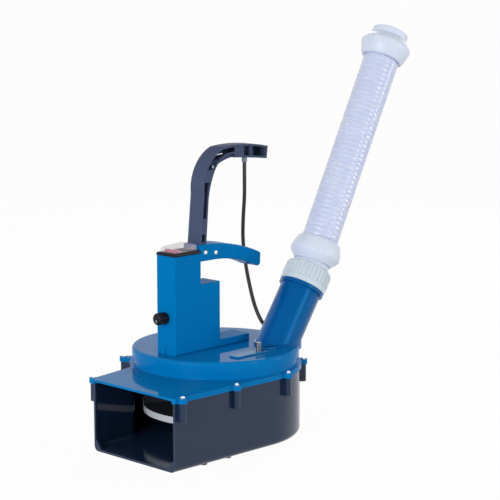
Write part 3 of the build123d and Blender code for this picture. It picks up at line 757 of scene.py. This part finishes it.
def addScrew(bm, points, index):
    place, length, headRadius = screwFrame(points)
    shape = screwShape
    headHeight = shape["head"] * mm
    shank = shape["shank"] * mm
    place = place @ Matrix.Rotation(shape["turn"] * index, 4, "Z")
    profile = []
    for k in range(1, shape["rings"] + 1):
        share = k / shape["rings"]
        profile.append((headRadius * share, -headHeight * shape["dome"] * share ** shape["domeFullness"]))
    profile += [(headRadius, -headHeight * shape["side"]), (headRadius * shape["underside"], -headHeight),
                (shank, -headHeight), (shank, -length + shape["taper"] * mm), (shape["tip"] * mm, -length)]
    rows = []
    for radius, height in profile:
        row = []
        for k in range(shape["steps"]):
            angle = 2 * math.pi * k / shape["steps"]
            x = radius * math.cos(angle)
            y = radius * math.sin(angle)
            drop = 0
            if height > -headHeight * shape["recessed"] and radius < shape["recessReach"] * mm:
                if min(abs(x), abs(y)) < shape["recessHalf"] * mm:
                    drop = shape["recessDepth"] * mm
            row.append(bm.verts.new(place @ Vector((x, y, height - drop))))
        rows.append(row)
    top = bm.verts.new(place @ Vector((0, 0, -shape["recessDepth"] * mm)))
    end = bm.verts.new(place @ Vector((0, 0, -length)))
    for lower, upper in zip(rows, rows[1:]):
        for k in range(shape["steps"]):
            n = (k + 1) % shape["steps"]
            bm.faces.new((lower[k], lower[n], upper[n], upper[k]))
    for k in range(shape["steps"]):
        n = (k + 1) % shape["steps"]
        bm.faces.new((top, rows[0][k], rows[0][n]))
        bm.faces.new((end, rows[-1][n], rows[-1][k]))


def makeScrews(nodeName):
    bm = bmesh.new()
    for index, points in enumerate(islandsOf(nodeName)):
        addScrew(bm, points, index)
    addPiece(bm, nodeName + "_recessed", "steel", bodyOfNode[nodeName], (nodeName,), 32)


# Shares of the foot's radius, then the hollow and the rounded side in millimetres

footShape = {
    "inner": 0.5, "innerLip": 0.55, "outerLip": 0.8, "outer": 0.9,
    "hollow": 0.3, "side": 1, "steps": 40,
}


def makeFeet():
    shape = footShape
    hollow = shape["hollow"] * mm
    bm = bmesh.new()
    for points in islandsOf("feet"):
        low = Vector([min(p[i] for p in points) for i in range(3)])
        high = Vector([max(p[i] for p in points) for i in range(3)])
        place = Matrix.Translation(((low.x + high.x) / 2, (low.y + high.y) / 2, low.z))
        reach = (high.x - low.x) / 2
        profile = [(0, hollow), (reach * shape["inner"], hollow), (reach * shape["innerLip"], 0),
                   (reach * shape["outerLip"], 0), (reach * shape["outer"], hollow),
                   (reach, shape["side"] * mm), (reach, high.z), (0, high.z)]
        spunProfile(bm, profile, place, shape["steps"])
    addPiece(bm, "rubber_feet", "rubber", bodyOfNode["feet"], ("feet",))


for nodeName in ("casing_screws", "column_screws", "arch_screws", "foot_screws", "motor_screws"):
    makeScrews(nodeName)
makeFeet()
print("stage: screws and feet")


# Trigger cable

cableRoute = {
    "points": [
        (0, 51.5, 343.6), (0, 51.5, 321), (-5, 57, 292), (-16.5, 66, 262), (-22.5, 71.5, 232),
        (-16.5, 70, 204), (-6, 66.5, 178), (4, 64, 156), (13.5, 62.5, 141.5), (19.5, 65, 130.5),
        (23, 72, 122.5),
    ],
    "radius": 2.4,
    "length": 238.4,
}


def makeCable():
    curve = bpy.data.curves.new("trigger_cable", "CURVE")
    curve.dimensions = "3D"
    curve.bevel_depth = cableRoute["radius"] * mm
    curve.bevel_resolution = 5
    curve.resolution_u = 10
    curve.use_fill_caps = True
    spline = curve.splines.new("NURBS")
    points = cableRoute["points"]
    spline.points.add(len(points) - 1)
    for target, (x, y, z) in zip(spline.points, points):
        target.co = (x * mm, y * mm, z * mm, 1)   # the last value is the point's weight
    spline.order_u = 3
    spline.use_endpoint_u = True
    curve.materials.append(paints["rubber"])
    cable = bpy.data.objects.new("trigger_cable", curve)
    scene.collection.objects.link(cable)
    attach(cable, bodyOfNode["cable"])
    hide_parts("cable")


makeCable()
print("stage: cable")


# Studio

studio = {
    "floorColour": (0.62, 0.62, 0.63), "floorGlow": 0.97, "floorRough": 0.9, "floorReach": 90,
    "horizon": 0.75, "zenith": 0.13, "aim": (0, 0, 0.2),
    "boxes": {   # place, width and height in metres, power in watts
        "key_light": ((0.5, -2.2, 0.65), (1.2, 1.0), 32),
        "fill_light": ((2.3, 0.25, 0.65), (0.35, 1.2), 9.5),
        "side_light": ((1.7, 1.9, 0.45), (0.7, 0.9), 12),
        "top_light": ((0.2, 0.0, 2.0), (1.5, 1.5), 3),
        "rim_light": ((-0.8, 1.6, 1.2), (1.2, 1.0), 11),
    },
}


def backgroundRays(tree):   # rays that see the pale background: camera, mirror and clear ones
    path = node(tree, "ShaderNodeLightPath")
    first = node(tree, "ShaderNodeMath", operation="MAXIMUM")
    second = node(tree, "ShaderNodeMath", operation="MAXIMUM")
    wire(tree, path.outputs["Is Camera Ray"], first.inputs[0])
    wire(tree, path.outputs["Is Glossy Ray"], first.inputs[1])
    wire(tree, first.outputs["Value"], second.inputs[0])
    wire(tree, path.outputs["Is Transmission Ray"], second.inputs[1])
    return second.outputs["Value"]


def makeFloor():
    bm = bmesh.new()
    bmesh.ops.create_grid(bm, x_segments=1, y_segments=1, size=studio["floorReach"])
    mesh = bpy.data.meshes.new("studio_floor")
    bm.to_mesh(mesh)
    bm.free()
    material = bpy.data.materials.new("pale_floor")
    material.use_nodes = True
    tree = material.node_tree
    shader = next(n for n in tree.nodes if n.type == "BSDF_PRINCIPLED")
    shader.inputs["Base Color"].default_value = (*studio["floorColour"], 1)
    shader.inputs["Roughness"].default_value = studio["floorRough"]
    output = next(n for n in tree.nodes if n.type == "OUTPUT_MATERIAL")
    glow = node(tree, "ShaderNodeEmission")
    glow.inputs["Strength"].default_value = 1
    share = node(tree, "ShaderNodeMath", operation="MULTIPLY")
    share.inputs[1].default_value = studio["floorGlow"]
    both = node(tree, "ShaderNodeMixShader")
    wire(tree, backgroundRays(tree), share.inputs[0])
    wire(tree, share.outputs["Value"], both.inputs["Fac"])
    wire(tree, shader.outputs["BSDF"], both.inputs[1])
    wire(tree, glow.outputs["Emission"], both.inputs[2])
    wire(tree, both.outputs["Shader"], output.inputs["Surface"])
    mesh.materials.append(material)
    floor = bpy.data.objects.new("studio_floor", mesh)
    scene.collection.objects.link(floor)


def makeWorld():
    world = bpy.data.worlds.new("studio_world")
    world.use_nodes = True
    tree = world.node_tree
    ambient = next(n for n in tree.nodes if n.type == "BACKGROUND")
    ambient.inputs["Color"].default_value = (1, 1, 1, 1)
    white = node(tree, "ShaderNodeBackground")
    white.inputs["Color"].default_value = (1, 1, 1, 1)
    white.inputs["Strength"].default_value = 1
    both = node(tree, "ShaderNodeMixShader")
    output = next(n for n in tree.nodes if n.type == "OUTPUT_WORLD")
    rays = node(tree, "ShaderNodeNewGeometry")
    parts = node(tree, "ShaderNodeSeparateXYZ")
    sky = node(tree, "ShaderNodeMapRange")
    sky.inputs["From Min"].default_value = 0
    sky.inputs["From Max"].default_value = -1
    sky.inputs["To Min"].default_value = studio["horizon"]
    sky.inputs["To Max"].default_value = studio["zenith"]
    wire(tree, rays.outputs["Incoming"], parts.inputs["Vector"])
    wire(tree, parts.outputs["Z"], sky.inputs["Value"])
    wire(tree, sky.outputs["Result"], ambient.inputs["Strength"])
    wire(tree, backgroundRays(tree), both.inputs["Fac"])
    wire(tree, ambient.outputs["Background"], both.inputs[1])
    wire(tree, white.outputs["Background"], both.inputs[2])
    wire(tree, both.outputs["Shader"], output.inputs["Surface"])
    scene.world = world


def softbox(name, place, size, power):
    data = bpy.data.lights.new(name, "AREA")
    data.shape = "RECTANGLE"
    data.size, data.size_y = size
    data.energy = power
    lamp = bpy.data.objects.new(name, data)
    aim = Vector(studio["aim"]) - Vector(place)
    lamp.matrix_world = Matrix.Translation(place) @ aim.to_track_quat("-Z", "Y").to_matrix().to_4x4()
    scene.collection.objects.link(lamp)


makeFloor()
makeWorld()
for name, (place, size, power) in studio["boxes"].items():
    softbox(name, place, size, power)
scene.view_settings.view_transform = "Standard"
print("stage: studio")
